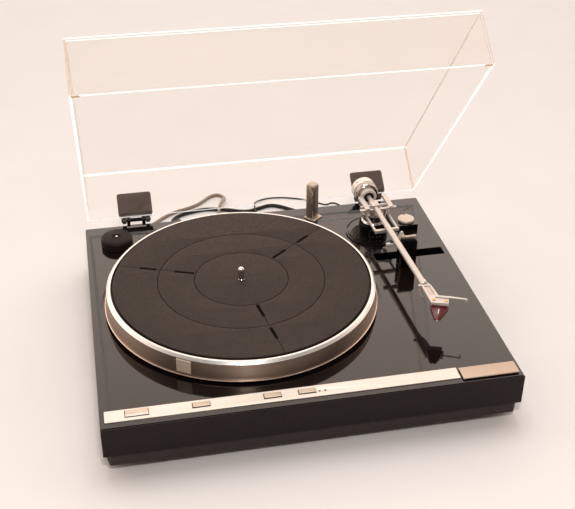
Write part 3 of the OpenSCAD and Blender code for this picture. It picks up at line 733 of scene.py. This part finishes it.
def make_platter():
    rim = new_mesh()
    outside = [(152.2, 60.6), (152.8, 61.0), (153, 61.4), (152.8, 61.8), (152.1, 62.0), (151.7, 62.4)]
    outside += [(151.3, 63.6), (150.1, 79.4), (149.9, 80.2), (147.6, 82.7), (147.0, 83.0)]
    inside = [(145.4, 83), (145.1, 82.8), (145.1, MAT_LOW), (5.0, MAT_LOW)]
    inside += [(5.0, 70), (12, 70), (12, 74), (143, 74), (143, 60.6)]
    add_turned(rim, outside + inside, 256)
    # Inner faces and the web under the mat take matt black: painted shade that makes the slots in the mat
    # dark.
    for face in rim.faces:
        middle = face.calc_center_median()
        out = middle.to_2d().length
        if out < 145.1 or middle.z < 60.7:
            face.material_index = 3
        elif out > 152.3:
            face.material_index = 2
        elif out > 149 and middle.z < 80.3:
            face.material_index = 1
    metals_and_painted_shade = [RIM, SHADED_RIM_SIDE, LIP, MATT_BLACK]
    piece("platter_rim", rim, PLATTER, metals_and_painted_shade, "turntable", ["platter"], sharp=12)
    mark = new_mesh()
    add_box(mark, (149.8, -8, 64), (151.5, 8, 79.2), 0.1, 1, turned(-122))
    piece("rim_mark", mark, PLATTER, POST_TOP, "turntable")


def make_mat():
    """Three rings of rubber with grooves between them, cut by three rows of slots, on one thin sheet."""
    holes = []
    for way in MAT_SLOTS_AT:
        for start, long in ((54, 23), (98, 20)):
            holes.append(mat_hole(rectangle(start, -1.8, start + long, 1.8, 0.6, 3), way))
        for start, end in ((78, 92.2), (94.5, 97), (119, 142)):
            holes.append(mat_hole(rectangle(start, -0.3, end, 0.3), way))
    holes.append(circle(4, steps=40))
    bm = new_mesh()
    for low_r, high_r in ((4, 52), (52.7, 93), (93.7, 142.6)):
        inner = [h for h in holes if low_r - 1 < max(Vector(c).length for c in h) < high_r + 1]
        inner += [circle(low_r, steps=160)] if low_r > 4 else []
        add_plate(bm, [circle(high_r, steps=200)] + inner, MAT_LOW + 1, MAT_TOP, 0.25, 2)
    add_plate(bm, [circle(144.3, steps=200)] + holes, MAT_LOW, MAT_LOW + 1.2, 0.1, 1)
    piece("mat_top", bm, PLATTER, MAT, "turntable", ["mat"])


def mat_hole(corners, way):
    return [(turned(way) @ Vector((x, y, 0))).to_2d() for x, y in corners]


def make_spindle():
    bm = new_mesh()
    profile = [(0, 19), (5, 19), (5, 79), (3.95, 79), (3.95, 83.6), (3.57, 84)]
    profile += [(3.57, 95.6), (3.2, 96.8), (2.2, 97.8), (1, 98), (0, 98)]
    add_turned(bm, profile, 48)
    piece("spindle_pin", bm, PLATTER, CHROME, "turntable", ["spindle"])


make_platter()
make_mat()
make_spindle()

# Clear cover, its bumpers and hinges

COVER_LOW, COVER_HIGH = (3.5, 33, 59.5), (426.5, 371, 121.5)
WALL = 3
PLATE_X = (42.5, 345)
PLATE_WIDE = 42.5


def make_cover():
    bm = new_mesh()
    size = Vector(COVER_HIGH) - Vector(COVER_LOW)
    middle = (Vector(COVER_HIGH) + Vector(COVER_LOW)) / 2
    bmesh.ops.create_cube(bm, size=1, matrix=Matrix.Translation(middle) @ Matrix.Diagonal((*size, 1)))
    bmesh.ops.delete(bm, geom=[f for f in bm.faces if f.normal.z < -0.5], context="FACES")
    edges = [e for e in bm.edges if not e.is_boundary]
    bmesh.ops.bevel(bm, geom=edges, offset=1.6, segments=3, profile=0.5, affect="EDGES")
    bmesh.ops.recalc_face_normals(bm, faces=bm.faces)
    shell = bm.faces[:]
    bmesh.ops.solidify(bm, geom=shell, thickness=WALL)
    # The rim and the front and back folds take the white glowing finish, a painted highlight; the vertical
    # corners take the tan one; the side folds take the faintly glowing one.
    for face in bm.faces:
        x, y, z = (abs(c) > 0.2 for c in face.normal)
        at_rim = max(v.co.z for v in face.verts) < COVER_LOW[2] + 0.01
        face.material_index = 1 if at_rim or (y and z) else 2 if x and y else 3 if x and z else 0
    layers = [CLEAR, PAINTED_GLOW_FOLD, CORNER, PAINTED_GLOW_SIDE_FOLD]
    piece("cover_shell", bm, COVER, layers, "cover", ["dust_cover"])
    pads = new_mesh()
    for x in (5.5, 416.5):
        add_box(pads, (x, 33.2, 58.3), (x + 8, 35.8, 59.5), 0.35)
    piece("bumpers", pads, COVER, TAN, "cover", ["cover_bumpers"])


def make_hinges():
    for side, x in zip(("left", "right"), PLATE_X):
        bm = new_mesh()
        upright = moved(0, 374.5, 0) @ turned(90, "X")
        add_plate(bm, [rectangle(x, 62, x + PLATE_WIDE, 92, 3)], 0, 3.5, 0.5, 2, upright)
        add_box(bm, (x + 1, 371, 61), (x + PLATE_WIDE - 1, 377, 66), 0.8)
        for k in (x + 4, x + PLATE_WIDE - 9):
            add_box(bm, (k, 371, 59.5), (k + 5, 383, 64.5), 0.6)
            turn = moved(k, 383, 60) @ ALONG_X
            add_turned(bm, [(2.5, 0), (4.2, 0), (4.5, 0.3), (4.5, 4.7), (4.2, 5), (2.5, 5)], 40, turn)
        piece(f"hinge_{side}", bm, COVER, BROWN, "cover", [f"hinge_plate_{side}"])


make_cover()
make_hinges()

# Tonearm: base, bearings, tube and headshell

SHELL_SCREWS_X = (-6.35, 6.35)


def make_arm_base():
    bm = new_mesh()
    ring = [(11, 58), (34, 58), (34, 60.1), (33.6, 60.5), (32.7, 60.5), (32.5, 58.8)]
    ring += [(31.2, 58.8), (31, 60.5), (11, 60.5)]
    add_turned(bm, ring, 96, moved(*PIVOT))
    add_plate(bm, [rectangle(376, 297, 408, 332, 1.2), circle(3.1, *KNOB, 32)], TOP, 65, 0.4)
    for face in bm.faces:
        face.material_index = 1 if face.normal.z < 0.5 and face.calc_center_median().z > 60.6 else 0
    piece("arm_plate", bm, DECK, [GLOSS_BLACK, DEEP_BLACK], "plinth", ["arm_base"])


def make_arm_column():
    bm = new_mesh()
    profile = [(5.05, 36), (10.8, 36), (10.8, 60.5), (17, 60.5), (17.6, 61), (18, 70)]
    profile += [(17.6, 72.8), (17, 73.5), (5.05, 73.5)]
    add_turned(bm, profile, 96, moved(*PIVOT))
    add_box(bm, (-9, -21.5, 60.6), (9, -15, 72), 0.8, 2, moved(*PIVOT) @ turned(-3))
    piece("arm_column", bm, DECK, DEEP_BLACK, "plinth", ["arm_housing"])
    dots = new_mesh()
    for x, z in ((-4.5, 63.6), (0, 63), (4.5, 63.6)):
        at = moved(*PIVOT, z) @ turned(-3) @ moved(x, -21.4, 0) @ turned(90, "X")
        add_disc(dots, 0.8, -0.2, 0.4, 0.1, 20, at)
    piece("column_screws", dots, DECK, BRASS, "plinth")


def make_knob():
    bm = new_mesh()
    low = KNOB_LOW
    profile = [(0, 59.2), (3.05, 59.2), (3.05, low + 0.5), (9.9, low), (10.2, low + 0.3)]
    profile += [(10.2, low + 2.5), (9.6, low + 3.1), (9.0, low + 3.2), (0, low + 3.0)]
    add_turned(bm, profile, 96, moved(*KNOB))
    piece("knob_cap", bm, DECK, KNOB_TOP, "knob", ["antiskate_knob"])
    # A matt black disc on the top stands for the index cut: painted shade.
    notch_shade = new_mesh()
    add_disc(notch_shade, 1.1, low + 2.8, low + 3.3, 0.1, 24, moved(*KNOB) @ moved(0, 8.9))
    piece("knob_notch_shade", notch_shade, DECK, MATT_BLACK, "knob")


def make_rest():
    bm = new_mesh()
    side = moved(0, 225.5, 0) @ turned(90, "X")
    outline = [(362, 58.5), (380.5, 58.5), (380.5, 91.5)]
    outline += [(377.5 + 3 * math.cos(a), 91 + 3 * math.sin(a)) for a in (0.2, 0.6, 1.0, 1.4)]
    add_plate(bm, [outline + [(362, 94)]], 0, 8, 0.5, 2, side)
    add_box(bm, (361, 216, 58), (381.5, 227, 59.5), 0.3)
    piece("rest_column", bm, DECK, DEEP_BLACK, "plinth", ["rest_post"])


def make_lift():
    bm = new_mesh()
    add_turned(bm, [(0, 58), (4.2, 58), (4.2, 86), (3.9, 86.4), (0, 86.4)], 48, moved(*LIFT))
    piece("lift_sleeve", bm, DECK, DEEP_BLACK, "plinth", ["lift_cylinder"])
    bm = new_mesh()
    cone = [(0, 86.2), (4.4, 86.2), (4.7, 86.8), (4.7, 89.8), (4.2, 90.4), (1.3, 97.6), (0, 98)]
    add_turned(bm, cone, 48, moved(*LIFT))
    piece("lift_cone", bm, DECK, SILVER, "plinth")
    bm = new_mesh()
    add_rod(bm, (347, 222, 88.5), (361.5, 222, 88.5), 1.7)
    add_rod(bm, (343.8, 222, 88.5), (349.2, 222, 88.5), 2.6, edge=0.9)
    add_rod(bm, (357.5, 222, 88.5), (361.2, 222, 88.5), 2.6, edge=0.4)
    add_box(bm, (354.5, 220.6, 86.4), (357.8, 223.4, 90.2), 0.4)
    piece("lift_rail", bm, DECK, SILVER, "lifter", ["lifter_bar"])
    bm = new_mesh()
    add_rod(bm, (362, 222.5, 96.6), (366.5, 222.5, 96.6), 1.9)
    add_box(bm, (364, 220.9, 95.2), (379.8, 224.1, 97.6), 0.5)
    piece("lever_arm", bm, DECK, CHAMPAGNE, "lever", ["cue_lever"])


def make_bearings():
    bm = new_mesh()
    turret = [(0, 38), (5, 38), (5, 74), (14.6, 74), (15, 74.4), (15, 75.6)]
    turret += [(13.6, 77), (13, 79), (13, 87), (0, 87)]
    add_turned(bm, turret, 96)
    piece("arm_turret", bm, ARM, CHROME, "arm_yaw", ["turret"])
    bm = new_mesh()
    bell = [(13.1, 78), (13.8, 79.5), (14.1, 82.5), (14.8, 85.5), (15.4, 87.4)]
    bell += [(15.2, 88), (14.4, 88), (13.4, 85.5), (13.1, 84)]
    add_turned(bm, bell, 96)
    piece("arm_bell", bm, ARM, CHROME, "arm_yaw")


def make_yoke():
    """Two cheeks that carry the tube, a frame in front of them and short bars to each side."""
    bm = new_mesh()
    for low in (-15, 15):
        high = low + 6
        middle = (low + high) / 2
        add_box(bm, (low, -12.5, 95.5), (high, 19.5, 99.3), 0.5)
        add_box(bm, (middle - 1.6, -4, 87.5), (middle + 1.6, 4, 96), 0.4)
        add_rod(bm, (middle - 1, 0, TUBE_Z), (middle + 2.4, 0, TUBE_Z), 4.2, edge=0.4, steps=40)
    for low in (-14.2, 13.4):
        add_box(bm, (low, -48, 86), (low + 2.4, -11, 89), 0.4)
        add_box(bm, (low, -12.5, 86), (low + 2.4, -9.5, 96), 0.4)
    add_box(bm, (-14.2, -49, 85.6), (15.8, -45.2, 90), 0.5)
    add_box(bm, (-21.5, -12.8, 95.4), (-11, -8.5, 98), 0.5)
    add_box(bm, (12.5, -12.8, 95.4), (24.3, -8.5, 98), 0.5)
    add_box(bm, (-12.5, -12.4, 94.8), (-4.8, -9, 97.2), 0.4)
    add_box(bm, (4.8, -12.4, 94.8), (13.5, -9, 97.2), 0.4)
    piece("arm_yoke", bm, ARM, SILVER, "arm_yaw", ["gimbal_yoke"])


def make_tube():
    bm = new_mesh()
    add_rod(bm, (0, 8, 0), (0, -50, 0), 3.1, steps=40)
    add_rod(bm, (0, -47, 0), (0, -172, 0), 3.5, edge=0.3, steps=40)
    add_rod(bm, (0, -169.5, 0), (0, -177, 0), 4.2, edge=0.5, steps=40)
    add_rod(bm, (0, 7, 0), (0, 50, 0), 2.8, steps=32)
    add_rod(bm, (-18, 0, 0), (18, 0, 0), 2, steps=24)
    add_box(bm, (-5, -6.5, -4.6), (5, 7, 4.4), 0.8)
    piece("tube", bm, TUBE, SILVER, "arm", ["arm_tube"])


def make_headshell():
    bm = new_mesh()
    outline = [(-5.1, -211), (11.9, -217.9), (15.3, -209.6), (7.2, -204.5), (6.2, -182), (4.4, -175.5)]
    outline += [(-3.6, -175.5), (-4.6, -181), (-5.2, -207)]
    hole = rectangle(-2.2, -198.5, 3.9, -181, 0.5)
    eyes = [(SHELL_IN_ARM @ Vector((x, 4.5, 0))).to_2d() for x in SHELL_SCREWS_X]
    bores = [circle(1.4, x, y, 24) for x, y in eyes]
    add_plate(bm, [outline] + bores, -2, 0.9, 0.3, 1)
    add_plate(bm, [outline, hole] + bores, 0.8, 2, 0.3, 1)
    add_box(bm, (-7.2, -178.5, -0.6), (-3.4, -175.5, 1.4), 0.4)
    piece("shell", bm, TUBE, SILVER, "arm", ["headshell"])
    loop = new_mesh()
    path = [(-5, -177, -1), (-6.6, -180, -3), (-7, -184, -5), (-6, -188, -6), (-4, -189, -5.5)]
    add_wire(loop, path, 0.22)
    piece("shell_lead", loop, TUBE, GREY, "arm")
    pane = new_mesh()
    add_plate(pane, [rectangle(-2.0, -198.3, 3.7, -181.2, 0.4)], 0.8, 1.1, 0.05, 1)
    piece("shell_pane", pane, TUBE, PANE, "arm")


def make_finger():
    bm = new_mesh()
    outline = [(-5, 9.3), (10, 9.3), (28.5, 8.4), (28.5, 10.4), (10, 12.1), (-5, 12.1)]
    add_plate(bm, [outline], 2, 3.3, 0.25, 1)
    add_box(bm, (27.3, 7.7, -1.4), (28.6, 10.4, 3.2), 0.35)
    piece("finger", bm, SHELL, SILVER, "arm", ["finger_lift"])


def make_pickup():
    bm = new_mesh()
    add_box(bm, (-7.6, 1, -7.4), (7.6, 14, -2.02), 0.5)
    add_box(bm, (-3, -6.5, -7.2), (3, 1.5, -5), 0.5)
    piece("pickup", bm, SHELL, GREY, "arm", ["cartridge"])
    screws = new_mesh()
    profile = [(0, -2), (1.3, -2), (1.3, 2), (2.0, 2.05), (2.0, 2.5)]
    profile += [(1.6, 2.9), (0.8, 2.95), (0.7, 2.6), (0, 2.6)]
    for x in SHELL_SCREWS_X:
        add_turned(screws, profile, 28, moved(x, 4.5))
    piece("shell_screws", screws, SHELL, BRASS, "arm")


def make_guard():
    """A wedge that narrows and drops to its tip, with a raised crest that carries a white line, a painted
    highlight.
    """
    bm = new_mesh()
    low, high, tip = -10.4, -2.4, -7.4
    rear, front, left, right = 3.2, -17.5, -5.4, 1.4
    corners = [(-9.7, rear, low), (9.7, rear, low), (right, front, low + 1.4), (left, front, low + 1.4)]
    corners += [(-9.7, rear, high), (9.7, rear, high), (right, front, tip), (left, front, tip)]
    corners += [(0, rear, high + 1.2), (-2, front, tip + 0.6)]
    verts = [bm.verts.new(c) for c in corners]
    faces = [(0, 1, 2, 3), (4, 7, 9, 8), (8, 9, 6, 5), (0, 4, 8, 5, 1)]
    faces += [(1, 5, 6, 2), (2, 6, 9, 7, 3), (3, 7, 4, 0)]
    for loop in faces:
        bm.faces.new([verts[k] for k in loop])
    bmesh.ops.recalc_face_normals(bm, faces=bm.faces)
    bmesh.ops.bevel(bm, geom=bm.edges[:], offset=0.4, segments=2, profile=0.5, affect="EDGES")
    piece("guard_cap", bm, SHELL, GUARD, "guard", ["stylus_guard"])
    # A white rod along the crest is a painted highlight.
    painted_highlight = new_mesh()
    back = Vector((0, rear, high + 1.2))
    crest = Vector((-2, front - rear, tip - 0.6 - high))
    add_rod(painted_highlight, back + crest * 0.36, back + crest * 0.68, 0.5, edge=0.2, steps=12)
    piece("guard_painted_highlight", painted_highlight, SHELL, WHITE, "guard")
    dot = new_mesh()
    add_disc(dot, 0.9, -0.8, 0.5, 0.35, 24, moved(-2, -17.4, -8.4) @ turned(90, "X"))
    piece("guard_tip", dot, SHELL, WHITE, "guard")


def make_weight():
    bm = new_mesh()
    drum = [(5.1, 36.5), (14.6, 36.5), (14.9, 36.8), (14.9, 47.4)]
    drum += [(14.3, 48), (8, 48), (7.6, 47), (5.1, 47)]
    add_turned(bm, drum, 96, ALONG_Y)
    piece("weight_drum", bm, TUBE, WEIGHT, "weight", ["counterweight"])
    bm = new_mesh()
    band = [(5.1, 27.3), (13, 27.3), (13.7, 27.9), (13.7, 29), (14.3, 30)]
    band += [(14.6, 31), (14.6, 36), (14.3, 36.6), (5.1, 36.6)]
    add_turned(bm, band, 96, ALONG_Y)
    piece("weight_band", bm, TUBE, WEIGHT_BAND, "weight")


def make_dial():
    """The ribbed ring in front of the weight, with a dark ring inside it: painted shade in its opening."""
    bm = new_mesh()
    ring = [(6.6, 21.5), (9.6, 21.5), (10, 21.9), (10, 27.4), (5.4, 27.4), (5.4, 24), (6.4, 23.8)]
    add_turned(bm, ring, 72, ALONG_Y)
    for k in range(24):
        add_box(bm, (9.9, -0.3, 22.5), (10.15, 0.3, 26.5), 0.05, 1, ALONG_Y @ turned(15 * k))
    piece("dial_ring", bm, TUBE, CREAM, "weight", ["weight_dial"])
    # A matt black ring fills the opening: painted shade.
    hole_shade = new_mesh()
    add_turned(hole_shade, [(3, 22.2), (6.5, 22.2), (6.5, 23.7), (3, 23.7)], 48, ALONG_Y)
    piece("dial_hole_shade", hole_shade, TUBE, MATT_BLACK, "weight")


def make_weight_hole():
    # A matt black disc on the drum stands for a hole: painted shade.
    hole = new_mesh()
    add_disc(hole, 1.0, 14.6, 15.02, 0.1, 24, moved(0, 42.5) @ turned(-40, "Y"))
    piece("weight_hole_shade", hole, TUBE, MATT_BLACK, "weight")


make_arm_base()
make_arm_column()
make_knob()
make_rest()
make_lift()
make_bearings()
make_yoke()
make_tube()
make_headshell()
make_finger()
make_pickup()
make_guard()
make_weight()
make_dial()
make_weight_hole()

# Adaptor and rear post


def make_adaptor():
    bm = new_mesh()
    low = ADAPTOR_LOW
    profile = [(3.65, low), (18.6, low), (19, low + 0.4), (19, low + 8.6), (17.2, low + 10.8)]
    profile += [(16.8, low + 11), (5.4, low + 11), (3.9, low + 9.2), (3.65, low + 9)]
    add_turned(bm, profile, 96, moved(*ADAPTOR_AT))
    piece("adaptor_ring", bm, DECK, ADAPTOR, "adaptor", ["ep_adaptor"])
    tip = new_mesh()
    add_disc(tip, 1.5, low + 9, low + 11.5, 0.5, 32, moved(*ADAPTOR_AT))
    piece("adaptor_tip", tip, DECK, CHROME, "plinth")


def make_rear_post():
    at = DECK @ moved(284, 350) @ turned(40)
    bm = new_mesh()
    add_plate(bm, [rectangle(-6.5, -6.5, 6.5, 6.5, 3.5, 8)], 58.5, 105.4, 0.4)
    piece("rear_column", bm, at, BRONZE, "plinth", ["rear_post"])
    bm = new_mesh()
    add_plate(bm, [rectangle(-5.6, -5.6, 5.6, 5.6, 3, 8)], 105.2, 106.6, 0.3, 1)
    add_plate(bm, [rectangle(-7.5, -9.5, 9.5, 7.5, 1)], 58, 59.5, 0.3, 1)
    piece("rear_trim", bm, at, POST_TOP, "plinth")


make_adaptor()
make_rear_post()
